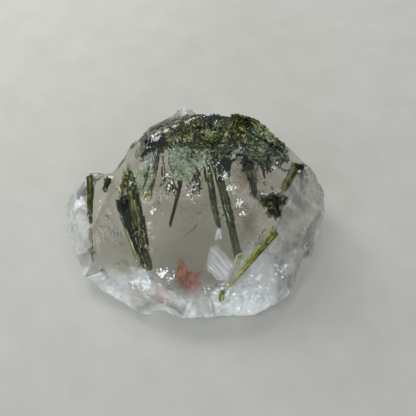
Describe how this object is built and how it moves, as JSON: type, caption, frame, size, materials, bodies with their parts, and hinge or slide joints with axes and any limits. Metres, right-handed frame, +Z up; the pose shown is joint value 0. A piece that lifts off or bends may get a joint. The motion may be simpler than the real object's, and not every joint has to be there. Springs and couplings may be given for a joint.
{
  "type": "green tourmaline in quartz",
  "caption": "Broken lump of clear quartz on a flat base, with a felted crest of green tourmaline, needles running down inside it, and smaller tourmaline clusters round it.",
  "frame": {"origin": "on the flat broken base, under the middle of the lump", "axes": "+X along the lump's width to the viewer's right, +Y away from the viewer, +Z up out of the base"},
  "size_m": [0.0689, 0.0557, 0.029],
  "materials": {
    "quartz": "clear, with fresh shell-shaped fractures and a frosted white rim",
    "tourmaline_green": "glassy dark green, grooved along the crystals",
    "tourmaline_olive": "glassy yellow-green, grooved along the crystals"
  },
  "bodies": {
    "root": {"quartz": "quartz", "tourmaline_crest": "tourmaline_green", "tourmaline_left_bundle": "tourmaline_green", "tourmaline_left_lobe_needle": "tourmaline_green", "tourmaline_notch_stub": "tourmaline_green", "tourmaline_right_blade": "tourmaline_olive", "tourmaline_right_cluster": "tourmaline_green", "tourmaline_right_prism": "tourmaline_green", "tourmaline_rim_fleck": "tourmaline_green"}
  },
  "joints": []
}
